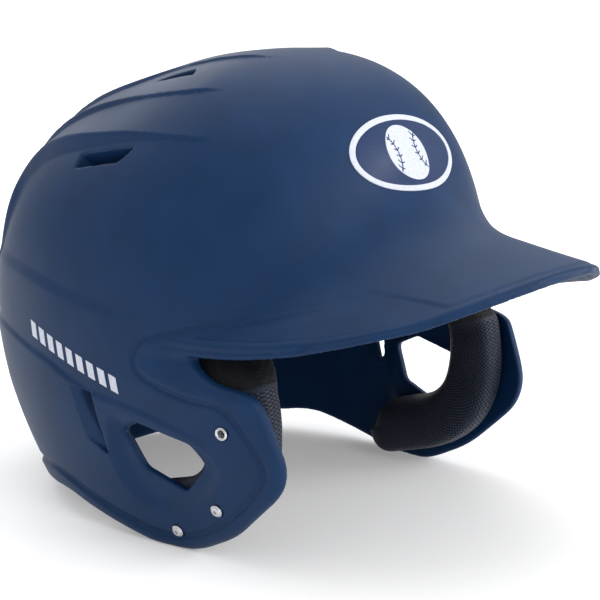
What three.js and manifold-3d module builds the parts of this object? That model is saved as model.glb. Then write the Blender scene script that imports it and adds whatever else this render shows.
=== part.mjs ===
// Batting helmet with two ear flaps: a moulded shell with its brim, a foam liner in five blocks,
// comfort pads, covered jaw pads, faceguard inserts with their screws, and the trim.
// Everything is laid out in the wearer's own frame: +X to the wearer's left, +Y to the back of the
// head, +Z up, with the origin on the brow level between the ears. The last group tips the helmet
// back into the way it sits on a table, on its two flaps and the rear rim.
import * as THREE from 'three';
import { mergeVertices } from 'three/addons/utils/BufferGeometryUtils.js';
import ManifoldModule from 'manifold-3d';

const wasm = await ManifoldModule();
wasm.setup();

// ---- driving dimensions, millimetres and degrees ----
const HALF_WIDTH = 109; // of the shell at the ears
const FRONT_REACH = 119; // from the centre line of the ears to the brow
const REAR_REACH = 131; // and to the back of the head
const CENTRE_Y = 8;
const CROWN_HEIGHT = 129;
const PITCH = 16; // how far the helmet tips back when it stands on a table

const PLAN_ROUNDNESS = 2.15; // superellipse power of a level section
const FLAP_ROUNDNESS = 4; // the flaps run straight forward instead of curling in
const FLAP_LEVEL = -60; // where the straight flaps are reached
const CROWN_ROUNDNESS = 2.3; // superellipse power of the dome from side to side
const BROW_ROUNDNESS = 2.7; // and from the crown to the brow
const BROW_SQUARENESS = 0.4; // how much squarer the front of a level section grows up to the crown
const SIDE_TAPER = 0.21; // narrowing 100 mm below the brow level
const REAR_TAPER = 0.2;
const TAPER_POWER = 1.8;

const WALL = 4; // shell thickness
const GAP = 0.35; // clearance between pieces that touch
const LINER_DEPTH = 16; // inner face of the foam blocks, below the shell's outer face
const PAD_DEPTH = 22.5; // inner face of the comfort pads

const BRIM_HALF_WIDTH = 104;
const BRIM_ROOT_Y = -30;
const BRIM_TIP_Y = -176;
const BRIM_FULLNESS = 0.9; // below 1 the brim is squarer than an ellipse in plan
const BRIM_LIP = 5.5; // depth of the rim band of the brim
const BRIM_PLATE = 3.6;
const BRIM_SLOPE = 0.5; // rise of the brim towards the brow

const FLOOR_LEVEL = -85.2; // table height in the tipped frame
const BODY_FLOOR = -104;
const AROUND = 48; // facets around the body
const SKIRT_STEPS = 5;
const DOME_STEPS = 10;

// ---- colours ----
const finish = (color, roughness, metalness = 0) => new THREE.MeshStandardMaterial({ color, roughness, metalness });
const NAVY = finish('#1b2c4d', 0.55);
const FOAM = finish('#17181c', 0.9);
const PAD_FABRIC = finish('#101114', 0.8);
const MESH_FABRIC = finish('#1c1e24', 0.75);
const STEEL = finish('#c3c7cc', 0.3, 0.9);
const WHITE = finish('#f1f3f5', 0.45);

// ---- the form of the body ----
const smoothStep = (t) => THREE.MathUtils.smoothstep(t, 0, 1);
const signedPower = (value, power) => Math.sign(value) * Math.abs(value) ** power;
function planPower(front, z) {
  if (!front) return PLAN_ROUNDNESS;
  const squarer = (BROW_SQUARENESS * Math.max(z, 0)) / CROWN_HEIGHT;
  return THREE.MathUtils.lerp(PLAN_ROUNDNESS, FLAP_ROUNDNESS, smoothStep(z / FLAP_LEVEL)) + squarer;
}
const ringFactor = (z, height, power) => (1 - (Math.min(Math.max(z, 0), height) / height) ** power) ** (1 / power);
const taper = (z, amount) => 1 - amount * (Math.max(-z, 0) / 100) ** TAPER_POWER;

// Half width and reach of the level section at height z, for a surface inset below the outer face.
function levelSection(z, front, inset) {
  const height = CROWN_HEIGHT - inset;
  const reach = (front ? FRONT_REACH : REAR_REACH) - inset;
  return {
    halfWidth: (HALF_WIDTH - inset) * ringFactor(z, height, CROWN_ROUNDNESS) * taper(z, SIDE_TAPER),
    reach: reach * ringFactor(z, height, front ? BROW_ROUNDNESS : CROWN_ROUNDNESS) * taper(z, front ? 0 : REAR_TAPER),
    power: planPower(front, z),
  };
}

function halfWidthAt(y, z, inset = 0) {
  const { halfWidth, reach, power } = levelSection(z, y < CENTRE_Y, inset);
  const share = Math.min(Math.abs(y - CENTRE_Y) / reach, 1);
  return halfWidth * (1 - share ** power) ** (1 / power);
}

// ---- solids ----
function toSolid(geometry) {
  const plain = geometry.clone();
  plain.deleteAttribute('uv');
  plain.deleteAttribute('normal');
  const welded = mergeVertices(plain, 1e-4);
  const corners = welded.index.array;
  const kept = [];
  for (let i = 0; i < corners.length; i += 3) {
    const [a, b, c] = [corners[i], corners[i + 1], corners[i + 2]];
    if (a !== b && b !== c && c !== a) kept.push(a, b, c);
  }
  const mesh = new wasm.Mesh({
    numProp: 3,
    vertProperties: new Float32Array(welded.attributes.position.array),
    triVerts: new Uint32Array(kept),
  });
  return new wasm.Manifold(mesh);
}

function toGeometry(solid) {
  const { vertProperties, triVerts } = solid.getMesh();
  const geometry = new THREE.BufferGeometry();
  geometry.setAttribute('position', new THREE.BufferAttribute(new Float32Array(vertProperties), 3));
  geometry.setIndex(new THREE.BufferAttribute(new Uint32Array(triVerts), 1));
  geometry.computeVertexNormals();
  return geometry;
}

// Moves every vertex of a geometry through a function of its old place.
function reshape(geometry, place) {
  const positions = geometry.attributes.position;
  for (let i = 0; i < positions.count; i += 1) {
    positions.setXYZ(i, ...place(positions.getX(i), positions.getY(i), positions.getZ(i)));
  }
  return geometry;
}

// Turns an upright lathe, whose axis is Y, so that its axis is Z.
const stand = (geometry) => geometry.rotateX(Math.PI / 2);

// The full solid inside the surface that lies inset below the shell's outer face.
const bodies = new Map();
function body(inset) {
  if (bodies.has(inset)) return bodies.get(inset);
  const height = CROWN_HEIGHT - inset;
  const profile = [new THREE.Vector2(0, BODY_FLOOR)];
  for (let step = 0; step <= SKIRT_STEPS; step += 1) {
    profile.push(new THREE.Vector2(1, BODY_FLOOR * (1 - step / SKIRT_STEPS)));
  }
  for (let step = 1; step < DOME_STEPS; step += 1) {
    const climb = (step / DOME_STEPS) * (Math.PI / 2);
    profile.push(new THREE.Vector2(1, height * Math.sin(climb) ** (2 / CROWN_ROUNDNESS)));
  }
  profile.push(new THREE.Vector2(0, height));
  const lathe = stand(new THREE.LatheGeometry(profile, AROUND));
  const solid = toSolid(reshape(lathe, (x, y, z) => {
    const ring = Math.hypot(x, y);
    if (ring < 0.5) return [0, CENTRE_Y, z];
    const { halfWidth, reach, power } = levelSection(z, y < 0, inset);
    return [
      halfWidth * signedPower(x / ring, 2 / power),
      CENTRE_Y + reach * signedPower(y / ring, 2 / power),
      z,
    ];
  }));
  bodies.set(inset, solid);
  return solid;
}

const layer = (outer, inner) => body(outer).subtract(body(inner));

// An outline through the given corners, each rounded off by the given radius.
function roundedShape(corners, radius) {
  const shape = new THREE.Shape();
  const points = corners.map(([u, v]) => new THREE.Vector2(u, v));
  points.forEach((corner, i) => {
    const before = points[(i + points.length - 1) % points.length];
    const after = points[(i + 1) % points.length];
    const into = before.clone().sub(corner);
    const out = after.clone().sub(corner);
    const start = corner.clone().addScaledVector(into.clone().normalize(), Math.min(radius, into.length() * 0.45));
    const end = corner.clone().addScaledVector(out.clone().normalize(), Math.min(radius, out.length() * 0.45));
    if (i === 0) shape.moveTo(start.x, start.y);
    else shape.lineTo(start.x, start.y);
    shape.quadraticCurveTo(corner.x, corner.y, end.x, end.y);
  });
  shape.closePath();
  return shape;
}

const ALONG_X = new THREE.Matrix4().makeBasis(
  new THREE.Vector3(0, 1, 0),
  new THREE.Vector3(0, 0, 1),
  new THREE.Vector3(1, 0, 0),
);

// A side-view outline (y, z) pushed through the helmet from x = from to x = to.
function sidePrism(shape, from, to, curveSegments = 4) {
  const bar = new THREE.ExtrudeGeometry(shape, { depth: to - from, bevelEnabled: false, curveSegments });
  return toSolid(bar.translate(0, 0, from).applyMatrix4(ALONG_X));
}

// A plan-view outline (x, y) between two heights.
function planPrism(shape, from, to, curveSegments = 4) {
  const block = new THREE.ExtrudeGeometry(shape, { depth: to - from, bevelEnabled: false, curveSegments });
  return toSolid(block.translate(0, 0, from));
}

// A sector of the plan between two compass angles, measured from the wearer's left (+X) towards the back.
function sector(fromDegrees, toDegrees, low, high) {
  const shape = new THREE.Shape();
  const centre = new THREE.Vector2(0, CENTRE_Y);
  shape.moveTo(centre.x, centre.y);
  for (let step = 0; step <= 4; step += 1) {
    const angle = THREE.MathUtils.degToRad(THREE.MathUtils.lerp(fromDegrees, toDegrees, step / 4));
    shape.lineTo(centre.x + 260 * Math.cos(angle), centre.y + 260 * Math.sin(angle));
  }
  return planPrism(shape, low, high);
}

const FAR = 160;
const bothSides = (shape) => sidePrism(shape, -FAR, FAR);
const oneSide = (shape, side) => (side > 0 ? sidePrism(shape, 20, FAR) : sidePrism(shape, -FAR, -20));

// ---- the shell ----
const SHELL_OUTLINE = [
  [170, -53], [100, -52], [62, -58], [8, -88], [-12, -92], [-38, -87], [-73, -69], [-78, -57],
  [-71, -33], [-51, -16], [-43, -5], [-60, -3], [-80, 4], [-95, 13], [-111, 20], [-170, 24],
  [-170, 170], [170, 170],
];
const EAR_HOLE = [[-3, -31], [-12, -30], [-36, -43], [-39, -54], [-20, -63], [-4, -49]];
const EAR_RECESS = [[3, -27], [-12, -25], [-42, -41], [-45, -57], [-20, -71], [1, -55]];
const SIDE_SLOT = [[17, -12], [23, -11], [22, -34], [14, -36]];
const SLOT_RECESS = [[16, -9], [28, -6], [27, -35], [14, -42]];
const RECESS_DEPTH = 1.2;

// Crown vents on the wearer's left, mirrored to the right: centre, length along the helmet,
// width, tilt of the opening above the level, and the fall of the slot towards the front.
const CROWN_VENTS = [
  { at: [84, -2, 89], length: 36, width: 5.5, tilt: 36, fall: 7 },
  { at: [47, -21, 117.5], length: 25, width: 5, tilt: 66, fall: 12 },
];

function ventCut(vent, side) {
  const slot = new THREE.BoxGeometry(60, vent.length, vent.width);
  slot.rotateX(THREE.MathUtils.degToRad(vent.fall));
  slot.rotateY(THREE.MathUtils.degToRad(-vent.tilt * side));
  return toSolid(slot.translate(side * vent.at[0], vent.at[1], vent.at[2]));
}

const ventCuts = [];
for (const side of [1, -1]) {
  for (const vent of CROWN_VENTS) ventCuts.push(ventCut(vent, side));
}

const cutAll = (solid, cuts) => cuts.reduce((rest, cut) => rest.subtract(cut), solid);

// Height of the underside of the brim's rim: a low arch across the tip that climbs to the temples.
function brimRimHeight(x, y) {
  const climb = 0.002 * Math.max(y + 110, 0) ** 2;
  const arch = 6.5 * Math.max(1 - (x / 68) ** 2, 0) ** 1.2 * smoothStep((-y - 90) / 60);
  return -12.2 + climb + arch;
}

function brim() {
  const rings = [0, 0.3, 0.55, 0.75, 0.9, 0.97, 1];
  const profile = [];
  for (const ring of rings) profile.push(new THREE.Vector2(ring, -1));
  for (const ring of rings.toReversed()) profile.push(new THREE.Vector2(ring, 1));
  const lathe = stand(new THREE.LatheGeometry(profile, AROUND));
  return toSolid(reshape(lathe, (across, along, face) => {
    const ring = Math.hypot(across, along);
    const reach = along < 0 ? BRIM_ROOT_Y - BRIM_TIP_Y : 60;
    const x = BRIM_HALF_WIDTH * across;
    const lengthwise = ring > 0 ? reach * ring * signedPower(along / ring, BRIM_FULLNESS) : 0;
    const y = BRIM_ROOT_Y + lengthwise;
    const outwards = ring > 0 ? Math.hypot(x, lengthwise) / ring : 0;
    const inwards = (1 - ring) * outwards;
    const rim = brimRimHeight(x, y) + BRIM_SLOPE * Math.min(inwards, 90);
    const hollow = (BRIM_LIP - BRIM_PLATE) * smoothStep(inwards / 6);
    return [x, y, face < 0 ? rim + hollow : rim + BRIM_LIP];
  }));
}

function outerShell() {
  const hollow = body(WALL);
  const openings = [
    bothSides(roundedShape(EAR_HOLE, 3)),
    bothSides(roundedShape(SIDE_SLOT, 1.5)),
    ...ventCuts,
    ...insertPlaces.map((place) => boreFor(place, BARREL_RADIUS + GAP)),
    ...[EAR_RECESS, SLOT_RECESS].map((corners) => layer(-1, RECESS_DEPTH).intersect(bothSides(roundedShape(corners, 5)))),
  ];
  const dome = body(0).intersect(bothSides(roundedShape(SHELL_OUTLINE, 12)));
  return cutAll(dome.add(brim()).subtract(hollow), openings).subtract(tableBlock());
}

// The block under the table plane, which trims the flaps and the rear rim to true flats.
function tableBlock() {
  const block = new THREE.BoxGeometry(500, 500, 60).translate(0, 0, FLOOR_LEVEL - 30);
  return toSolid(block.rotateX(THREE.MathUtils.degToRad(PITCH)));
}

// ---- inserts and screws on the flaps ----
const BARREL_RADIUS = 2.3;
const FLANGE_RADIUS = 3;
const FLANGE_HEIGHT = 1.1;
const SEAT_RADIUS = 2.35; // the shallow seat for the screw head inside the flange
const SEAT_HEIGHT = 0.8;
const BORE_RADIUS = 1.6;
const BARREL_LENGTH = 4.6;
const SCREW_RADIUS = 1.2;
const SCREW_HEAD_RADIUS = 2.05;
const ROUND = 16;
const INSERT_SPOTS = {
  upper: [-55, -39],
  lower_front: [-36, -73],
  lower_rear: [-7, -81],
};

// The point on the shell's outer face at (y, z) of one side, and the turn that stands +Z out of it.
function surfacePlace(side, y, z) {
  const step = 0.5;
  const alongY = (halfWidthAt(y + step, z) - halfWidthAt(y - step, z)) / (2 * step);
  const alongZ = (halfWidthAt(y, z + step) - halfWidthAt(y, z - step)) / (2 * step);
  const normal = new THREE.Vector3(side, -alongY, -alongZ).normalize();
  return {
    position: new THREE.Vector3(side * halfWidthAt(y, z), y, z),
    quaternion: new THREE.Quaternion().setFromUnitVectors(new THREE.Vector3(0, 0, 1), normal),
  };
}

const insertPlaces = [];
for (const [sideName, side] of [['left', 1], ['right', -1]]) {
  for (const [spot, [y, z]] of Object.entries(INSERT_SPOTS)) {
    insertPlaces.push({ name: `${sideName}_${spot}`, spot, ...surfacePlace(side, y, z) });
  }
}

function boreFor(place, radius) {
  const bore = stand(new THREE.CylinderGeometry(radius, radius, 24, ROUND));
  return toSolid(bore.applyQuaternion(place.quaternion).translate(...place.position));
}

function insertGeometry() {
  return stand(new THREE.LatheGeometry([
    [BORE_RADIUS, -BARREL_LENGTH], [BARREL_RADIUS, -BARREL_LENGTH], [BARREL_RADIUS, GAP], [FLANGE_RADIUS, GAP],
    [FLANGE_RADIUS, FLANGE_HEIGHT], [SEAT_RADIUS, FLANGE_HEIGHT], [SEAT_RADIUS, SEAT_HEIGHT],
    [BORE_RADIUS, SEAT_HEIGHT], [BORE_RADIUS, -BARREL_LENGTH],
  ].map(([r, h]) => new THREE.Vector2(r, h)), ROUND));
}

function screwGeometry() {
  const head = SEAT_HEIGHT + GAP;
  const socket = 0.9;
  return stand(new THREE.LatheGeometry([
    [0, -BARREL_LENGTH + 1], [SCREW_RADIUS, -BARREL_LENGTH + 1], [SCREW_RADIUS, head], [SCREW_HEAD_RADIUS, head],
    [SCREW_HEAD_RADIUS, head + 0.5], [SCREW_HEAD_RADIUS - 0.6, head + 1], [socket, head + 1], [socket, head + 0.2],
    [0, head + 0.2],
  ].map(([r, h]) => new THREE.Vector2(r, h)), ROUND));
}

// ---- foam liner ----
const LINER_TOP = 76;
const LINER_CHANNEL = 5;

// The rectangular grooves in the foam that carry air from the crown vents to the brow and the back.
function airChannel(x) {
  const groove = new THREE.BoxGeometry(12, 400, 400).translate(x, CENTRE_Y, 0);
  return toSolid(groove).intersect(layer(LINER_DEPTH - LINER_CHANNEL, LINER_DEPTH + 1));
}

function linerBlock(from, to, low, high) {
  const block = layer(WALL + GAP, LINER_DEPTH).intersect(sector(from, to, low, high));
  return cutAll(block, ventCuts);
}

function crownLiner() {
  const cap = new THREE.BoxGeometry(400, 400, 100).translate(0, 0, LINER_TOP + 50);
  const block = layer(WALL + GAP, LINER_DEPTH).intersect(toSolid(cap));
  return cutAll(block, [...ventCuts, airChannel(-30), airChannel(30)]);
}

// ---- comfort pads ----
function comfortPad(from, to, low, high) {
  return layer(LINER_DEPTH + GAP, PAD_DEPTH).intersect(sector(from, to, low, high));
}

function crownPad() {
  const disc = planPrism(new THREE.Shape().absellipse(0, CENTRE_Y - 4, 17, 52, 0, Math.PI * 2), LINER_TOP, 140, 14);
  return layer(LINER_DEPTH + GAP, PAD_DEPTH).intersect(disc);
}

// ---- jaw pads ----
const JAW_LINE = [[-46, -8], [-51, -24], [-53, -44], [-44.5, -62], [-25, -70], [10, -69]];
const JAW_HALF_WIDTH = 11.5;
const JAW_BACK = WALL + 2.4;
const JAW_DEPTH = 23.6;
const COVER = 1;

// A band of constant width along a smooth line, with round ends.
function bandShape(line, halfWidth) {
  const curve = new THREE.SplineCurve(line.map(([u, v]) => new THREE.Vector2(u, v)));
  const steps = 12;
  const left = [];
  const right = [];
  for (let i = 0; i <= steps; i += 1) {
    const point = curve.getPointAt(i / steps);
    const along = curve.getTangentAt(i / steps);
    const across = new THREE.Vector2(-along.y, along.x).multiplyScalar(halfWidth);
    left.push(point.clone().add(across));
    right.unshift(point.clone().sub(across));
  }
  const cap = (point, tangent) => {
    const start = Math.atan2(tangent.y, tangent.x) + Math.PI / 2;
    return [1, 2, 3, 4].map((i) => {
      const angle = start - (i * Math.PI) / 5;
      return new THREE.Vector2(point.x + halfWidth * Math.cos(angle), point.y + halfWidth * Math.sin(angle));
    });
  };
  const endCap = cap(curve.getPointAt(1), curve.getTangentAt(1));
  const startCap = cap(curve.getPointAt(0), curve.getTangentAt(0).negate());
  return new THREE.Shape([...left, ...endCap, ...right, ...startCap]);
}

function jawFoam(side) {
  const band = oneSide(bandShape(JAW_LINE, JAW_HALF_WIDTH - COVER - GAP), side);
  return layer(JAW_BACK, JAW_DEPTH - COVER - GAP).intersect(band);
}

function jawCover(side) {
  const outside = layer(JAW_BACK, JAW_DEPTH).intersect(oneSide(bandShape(JAW_LINE, JAW_HALF_WIDTH), side));
  const inside = layer(JAW_BACK - 1, JAW_DEPTH - COVER).intersect(
    oneSide(bandShape(JAW_LINE, JAW_HALF_WIDTH - COVER), side),
  );
  return outside.subtract(inside);
}

// ---- trim ----
const BADGE = { height: 61.5, halfWidth: 34.5, halfHeight: 17.8, thickness: 1.1 };

function frontBadge() {
  const oval = new THREE.Shape().absellipse(0, BADGE.height, BADGE.halfWidth, BADGE.halfHeight, 0, Math.PI * 2);
  const bar = new THREE.ExtrudeGeometry(oval, { depth: 100, bevelEnabled: false, curveSegments: 20 });
  const forward = toSolid(bar.rotateX(Math.PI / 2).translate(0, -50, 0));
  return layer(-GAP - BADGE.thickness, -GAP).intersect(forward);
}

const ACCENT = { rear: [50, 20], front: [-3, -14], height: 7.5, bars: 8, lean: 3, thickness: 0.7 };

// A plain strip of leaning bars on a thin foot line, from the rear of the side towards the flap.
function accentShape() {
  const rear = new THREE.Vector2(...ACCENT.rear);
  const along = new THREE.Vector2(...ACCENT.front).sub(rear);
  const length = along.length();
  along.normalize();
  const up = new THREE.Vector2(along.y, -along.x);
  const spot = (s, t) => rear.clone().addScaledVector(along, s).addScaledVector(up, t);
  const pitch = length / ACCENT.bars;
  const points = [spot(0, 0)];
  for (let i = 0; i < ACCENT.bars; i += 1) {
    const start = i * pitch;
    points.push(spot(start + 0.6, 1.6));
    points.push(spot(start + 0.6 - ACCENT.lean, ACCENT.height));
    points.push(spot(start + pitch * 0.66 - ACCENT.lean, ACCENT.height));
    points.push(spot(start + pitch * 0.66, 1.6));
  }
  points.push(spot(length, 1.6), spot(length, 0));
  return new THREE.Shape(points);
}

const sideAccent = (side) => layer(-GAP - ACCENT.thickness, -GAP).intersect(oneSide(accentShape(), side));

// ---- assembly ----
const worn = new THREE.Group();

function addPiece(name, geometry, material) {
  const mesh = new THREE.Mesh(geometry, material);
  mesh.name = name;
  worn.add(mesh);
  return mesh;
}

const addSolid = (name, solid, material) => addPiece(name, toGeometry(solid), material);

addSolid('outer_shell', outerShell(), NAVY);
addSolid('front_badge', frontBadge(), WHITE);

for (const place of insertPlaces) {
  const insert = addPiece(`${place.name}_insert`, insertGeometry(), STEEL);
  insert.position.copy(place.position);
  insert.quaternion.copy(place.quaternion);
  if (place.spot === 'upper') continue;
  const screw = addPiece(`${place.name}_screw`, screwGeometry(), STEEL);
  screw.position.copy(place.position);
  screw.quaternion.copy(place.quaternion);
}

const SEAM = 0.3; // half of the gap between two foam blocks, in degrees
addSolid('rear_liner', linerBlock(48 + SEAM, 132 - SEAM, -28, LINER_TOP - GAP), FOAM);
addSolid('front_liner', linerBlock(228 + SEAM, 312 - SEAM, 24, LINER_TOP - GAP), FOAM);
addSolid('left_liner', linerBlock(-48 + SEAM, 48 - SEAM, 8, LINER_TOP - GAP), FOAM);
addSolid('right_liner', linerBlock(132 + SEAM, 228 - SEAM, 8, LINER_TOP - GAP), FOAM);
addSolid('crown_liner', crownLiner(), FOAM);

addSolid('forehead_pad', comfortPad(234, 306, 26, 54), PAD_FABRIC);
addSolid('rear_pad_left', comfortPad(50, 74, -26, 14), PAD_FABRIC);
addSolid('rear_pad_centre', comfortPad(76, 104, -26, 14), PAD_FABRIC);
addSolid('rear_pad_right', comfortPad(106, 130, -26, 14), PAD_FABRIC);
addSolid('crown_pad', crownPad(), PAD_FABRIC);

for (const [sideName, side, from, to] of [['left', 1, -30, 12], ['right', -1, 168, 210]]) {
  addSolid(`temple_pad_${sideName}`, comfortPad(from, to, 16, 42), PAD_FABRIC);
  addSolid(`jaw_foam_${sideName}`, jawFoam(side), FOAM);
  addSolid(`jaw_cover_${sideName}`, jawCover(side), MESH_FABRIC);
  addSolid(`side_accent_${sideName}`, sideAccent(side), WHITE);
}

// Tip the helmet back on its flaps and rear rim, with the table at z = 0.
worn.rotation.x = THREE.MathUtils.degToRad(-PITCH);
const helmet = new THREE.Group();
helmet.add(worn);
const bounds = new THREE.Box3().setFromObject(helmet, true);
worn.position.set(0, -(bounds.min.y + bounds.max.y) / 2, -FLOOR_LEVEL);

export default helmet;
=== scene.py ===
"""Looks of a batting helmet with two ear flaps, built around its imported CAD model.

The shell's form is written as a distance field in the wearer's own frame, in millimetres: +X to the
wearer's left, +Y to the back of the head, +Z up, with the origin on the brow level between the ears.
It is turned into a mesh, placed in the row frame in metres, and given a matte moulded finish.
"""
import math

import bmesh
import bpy
import numpy as np
import openvdb
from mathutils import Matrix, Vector


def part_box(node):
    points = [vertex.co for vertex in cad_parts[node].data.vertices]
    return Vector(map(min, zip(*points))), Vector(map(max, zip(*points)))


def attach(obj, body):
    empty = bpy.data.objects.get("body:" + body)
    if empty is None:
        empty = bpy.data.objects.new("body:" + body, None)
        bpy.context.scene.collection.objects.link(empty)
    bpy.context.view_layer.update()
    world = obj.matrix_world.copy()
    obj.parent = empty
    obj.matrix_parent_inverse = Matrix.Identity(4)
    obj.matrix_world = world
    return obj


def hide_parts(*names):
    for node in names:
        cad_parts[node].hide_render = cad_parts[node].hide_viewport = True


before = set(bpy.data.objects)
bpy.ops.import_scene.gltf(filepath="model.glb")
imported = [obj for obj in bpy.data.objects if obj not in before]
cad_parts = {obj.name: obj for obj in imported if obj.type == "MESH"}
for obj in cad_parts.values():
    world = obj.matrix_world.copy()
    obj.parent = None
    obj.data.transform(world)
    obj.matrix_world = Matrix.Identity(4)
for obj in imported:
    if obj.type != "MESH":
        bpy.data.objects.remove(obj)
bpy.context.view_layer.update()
scene = bpy.context.scene

# ---------------------------------------------------------------- the helmet's frame in the row frame
PITCH = math.radians(16)
SHIFT_Y = 14.854
LIFT = 85.2


def turn(points):
    """Directions from the wearer's frame to the row frame."""
    x, y, z = points[:, 0], points[:, 1], points[:, 2]
    c, s = math.cos(PITCH), math.sin(PITCH)
    return np.stack([x, y * c + z * s, z * c - y * s], 1)


def to_row(points):
    """Places in the wearer's frame, in millimetres, to the row frame, in metres."""
    return (turn(points) + (0, SHIFT_Y, LIFT)) / 1000


# ---------------------------------------------------------------- camera
AZIMUTH, ELEVATION, DISTANCE = math.radians(-50), math.radians(12.5), 0.82
TARGET = Vector((0.002, -0.02 + SHIFT_Y / 1000, 0.012 + LIFT / 1000))
LENS = 102.34


def add_camera():
    back = Vector((
        math.sin(AZIMUTH) * math.cos(ELEVATION),
        -math.cos(AZIMUTH) * math.cos(ELEVATION),
        math.sin(ELEVATION),
    ))
    data = bpy.data.cameras.new("camera")
    data.lens = LENS
    data.sensor_width = 36
    data.clip_end = 100
    camera = bpy.data.objects.new("camera", data)
    camera.location = TARGET + DISTANCE * back
    camera.rotation_euler = back.to_track_quat("Z", "Y").to_euler()
    scene.collection.objects.link(camera)
    scene.camera = camera


add_camera()

# ---------------------------------------------------------------- small mathematics
def smooth01(t):
    t = np.clip(t, 0, 1)
    return t * t * (3 - 2 * t)


def smooth_min(a, b, k):
    h = np.maximum(k - np.abs(a - b), 0) / k
    return np.minimum(a, b) - h * h * k / 4


def smooth_max(a, b, k):
    return -smooth_min(-a, -b, k)


def smooth_curve(knots):
    """A smooth function through the knots (u, value), held level beyond its ends."""
    us, values = np.array(knots, float).T
    slopes = np.gradient(values, us)

    def at(u):
        u = np.clip(u, us[0], us[-1])
        i = np.clip(np.searchsorted(us, u) - 1, 0, len(us) - 2)
        width = us[i + 1] - us[i]
        t = (u - us[i]) / width
        return (
            values[i] * (1 + 2 * t) * (1 - t) ** 2 + slopes[i] * width * t * (1 - t) ** 2
            + values[i + 1] * t * t * (3 - 2 * t) - slopes[i + 1] * width * t * t * (1 - t)
        )

    return at


def rounded(corners, radius, steps=7):
    """The closed outline through the corners, each rounded off."""
    corners = np.array(corners, float)
    points = []
    for i, corner in enumerate(corners):
        into, out = corners[i - 1] - corner, corners[(i + 1) % len(corners)] - corner
        a, b = np.linalg.norm(into), np.linalg.norm(out)
        start = corner + into / a * min(radius, 0.45 * a)
        end = corner + out / b * min(radius, 0.45 * b)
        for t in np.linspace(0, 1, steps):
            points.append((1 - t) ** 2 * start + 2 * t * (1 - t) * corner + t * t * end)
    return np.array(points)


class Outline:
    """Signed distance to a closed outline in a plane, negative inside, looked up on a fine grid."""

    def __init__(self, points, margin=14, step=0.75, low=None, high=None):
        points = np.asarray(points, float)
        self.low = np.array(low if low is not None else points.min(0) - margin, float)
        self.high = np.array(high if high is not None else points.max(0) + margin, float)
        self.step = step
        counts = np.ceil((self.high - self.low) / step).astype(int) + 1
        u = self.low[0] + step * np.arange(counts[0])
        v = self.low[1] + step * np.arange(counts[1])
        u, v = np.meshgrid(u, v, indexing="ij")
        nearest = np.full(u.shape, 1e9)
        inside = np.zeros(u.shape, bool)
        for (au, av), (bu, bv) in zip(points, np.roll(points, -1, 0)):
            du, dv = bu - au, bv - av
            span = du * du + dv * dv
            if span < 1e-12:
                continue
            t = np.clip(((u - au) * du + (v - av) * dv) / span, 0, 1)
            nearest = np.minimum(nearest, (u - au - t * du) ** 2 + (v - av - t * dv) ** 2)
            if av != bv:
                inside ^= ((av > v) != (bv > v)) & (u < du * (v - av) / dv + au)
        self.grid = np.where(inside, -1, 1) * np.sqrt(nearest)

    def __call__(self, u, v):
        fu = np.clip((u - self.low[0]) / self.step, 0, self.grid.shape[0] - 1.001)
        fv = np.clip((v - self.low[1]) / self.step, 0, self.grid.shape[1] - 1.001)
        i, j = fu.astype(int), fv.astype(int)
        fu, fv = fu - i, fv - j
        g = self.grid
        return (
            g[i, j] * (1 - fu) * (1 - fv) + g[i + 1, j] * fu * (1 - fv)
            + g[i, j + 1] * (1 - fu) * fv + g[i + 1, j + 1] * fu * fv
        )


# ---------------------------------------------------------------- the form of the head part
HALF_WIDTH, FRONT_REACH, REAR_REACH, CENTRE_Y, CROWN = 109, 119, 131, 8, 128.5
WALL = 4


def body_level(x, y, z):
    """1 on the outer face, less inside: the head form's size through a point, over its own size."""
    front = y < CENTRE_Y
    down = np.clip(-z, 0, None) / 100
    fuller = 1.35 * smooth01(z / -30) + 0.5 * smooth01((z + 30) / -30) + 0.7 * np.clip(z, 0, None) / CROWN
    power = np.where(front, 2.15 + fuller, 2.15)
    across = HALF_WIDTH * (1 - 0.21 * down ** 1.8)
    along = np.where(front, FRONT_REACH, REAR_REACH * (1 - 0.215 * down ** 1.35))
    u = (np.abs(x) / across) ** power
    v = (np.abs(y - CENTRE_Y) / along) ** power
    ring = (u + v) ** (1 / power)
    n = 2.3 + np.where(front, 0.55 * v / (u + v + 1e-9), 0)
    return (ring ** n + (np.clip(z, 0, None) / CROWN) ** n) ** (1 / n)


def body_distance(x, y, z):
    h = 0.5
    level = body_level(x, y, z)
    slope = np.sqrt(
        (body_level(x + h, y, z) - level) ** 2
        + (body_level(x, y + h, z) - level) ** 2
        + (body_level(x, y, z + h) - level) ** 2
    ) / h
    return (level - 1) / np.maximum(slope, 1e-3)


def half_width(y, z):
    """Half width of the outer face at (y, z), found by bisection."""
    low, high = np.zeros_like(y, float), np.full_like(y, HALF_WIDTH, float)
    for _ in range(30):
        middle = (low + high) / 2
        inside = body_level(middle, y, z) < 1
        low, high = np.where(inside, middle, low), np.where(inside, high, middle)
    return low


def fall(x, z):
    """How far round from the crown a point lies, at about a millimetre each: 0 on top, 180 at the brow."""
    return 2 * np.degrees(np.arctan2(np.abs(x) / HALF_WIDTH, np.maximum(z, 0) / CROWN))


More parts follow.
